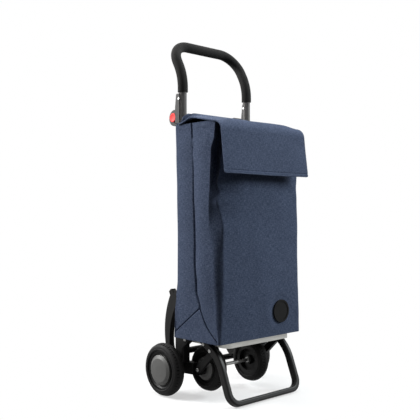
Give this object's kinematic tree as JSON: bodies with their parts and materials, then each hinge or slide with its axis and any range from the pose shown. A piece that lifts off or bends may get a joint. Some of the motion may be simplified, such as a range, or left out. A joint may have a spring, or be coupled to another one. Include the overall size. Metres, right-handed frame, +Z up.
{
  "type": "shopping trolley",
  "caption": "Upright shopping trolley: an open cloth bag with a flap on a tube frame with paired wheels, a front stand and a fold-back loop handle.",
  "frame": {"origin": "On the floor, under the middle of the whole trolley", "axes": "+Z up, the front of the bag and the stand face -Y, +X to the right seen from the front"},
  "size_m": [0.409, 0.3204, 1.05],
  "materials": {
    "tube": "satin",
    "casting": "satin",
    "bright": "satin",
    "red": "gloss",
    "foam": "matte",
    "black_paint": "satin",
    "chassis": "satin",
    "plate": "satin",
    "tyre": "matte",
    "rim": "satin",
    "cap": "satin",
    "cloth": "woven",
    "webbing": "woven",
    "board": "matte",
    "badge": "satin"
  },
  "bodies": {
    "frame": {"left_upright": "tube", "left_lower_knuckle": "casting", "left_hinge_pin": "bright", "left_wheel_arm": "chassis", "left_arm_collar": "chassis", "left_upright_foot": "chassis", "left_stand_brace": "chassis", "right_upright": "tube", "right_lower_knuckle": "casting", "right_hinge_pin": "bright", "right_wheel_arm": "chassis", "right_arm_collar": "chassis", "right_upright_foot": "chassis", "right_stand_brace": "chassis", "top_crossbar": "black_paint", "low_crossbar": "black_paint", "front_axle": "bright", "rear_axle": "bright", "rear_axle_tube": "black_paint", "rear_axle_nuts": "bright", "front_wheel_clips": "bright", "base_plate": "plate", "stand": "black_paint", "chassis_screws": "bright", "bag_body": "cloth", "bag_board": "board", "badge_disc": "badge", "bag_loops": "webbing"},
    "handle": {"left_upper_knuckle": "casting", "left_button_spring": "bright", "right_upper_knuckle": "casting", "right_button_spring": "bright", "handle_tube": "tube", "foam_grip": "foam", "handle_rivets": "bright"},
    "left_button": {"left_release_button": "red"},
    "right_button": {"right_release_button": "red"},
    "flap": {"bag_flap": "cloth"},
    "left_rear_wheel": {"left_rear_wheel_tyre": "tyre", "left_rear_wheel_rim": "rim", "left_rear_wheel_hub_cap": "cap"},
    "left_front_wheel": {"left_front_wheel_tyre": "tyre", "left_front_wheel_rim": "rim", "left_front_wheel_hub_cap": "cap"},
    "right_rear_wheel": {"right_rear_wheel_tyre": "tyre", "right_rear_wheel_rim": "rim", "right_rear_wheel_hub_cap": "cap"},
    "right_front_wheel": {"right_front_wheel_tyre": "tyre", "right_front_wheel_rim": "rim", "right_front_wheel_hub_cap": "cap"}
  },
  "joints": [
    {"name": "handle_fold", "type": "hinge", "parent": "frame", "child": "handle", "pos_m": [0, 0.0895, 0.811], "axis": [-1, 0, 0], "range_deg": [0, 165]},
    {"name": "flap_open", "type": "hinge", "parent": "frame", "child": "flap", "pos_m": [0, 0.0385, 0.8214], "axis": [-1, 0, 0], "range_deg": [0, 95]},
    {"name": "left_button_press", "type": "slide", "parent": "handle", "child": "left_button", "axis": [1, 0, 0], "range_m": [0, 0.0035], "stiffness_N_per_m": 900, "springref_m": -0.003, "deforming": ["left_button_spring"]},
    {"name": "right_button_press", "type": "slide", "parent": "handle", "child": "right_button", "axis": [-1, 0, 0], "range_m": [0, 0.0035], "stiffness_N_per_m": 900, "springref_m": -0.003, "deforming": ["right_button_spring"]},
    {"name": "left_rear_wheel_spin", "type": "hinge", "parent": "frame", "child": "left_rear_wheel", "pos_m": [-0.1815, 0.084, 0.0762], "axis": [1, 0, 0], "continuous": true},
    {"name": "left_front_wheel_spin", "type": "hinge", "parent": "frame", "child": "left_front_wheel", "pos_m": [-0.088, -0.004, 0.081], "axis": [1, 0, 0], "continuous": true},
    {"name": "right_rear_wheel_spin", "type": "hinge", "parent": "frame", "child": "right_rear_wheel", "pos_m": [0.1815, 0.084, 0.0762], "axis": [1, 0, 0], "continuous": true},
    {"name": "right_front_wheel_spin", "type": "hinge", "parent": "frame", "child": "right_front_wheel", "pos_m": [0.088, -0.004, 0.081], "axis": [1, 0, 0], "continuous": true}
  ]
}
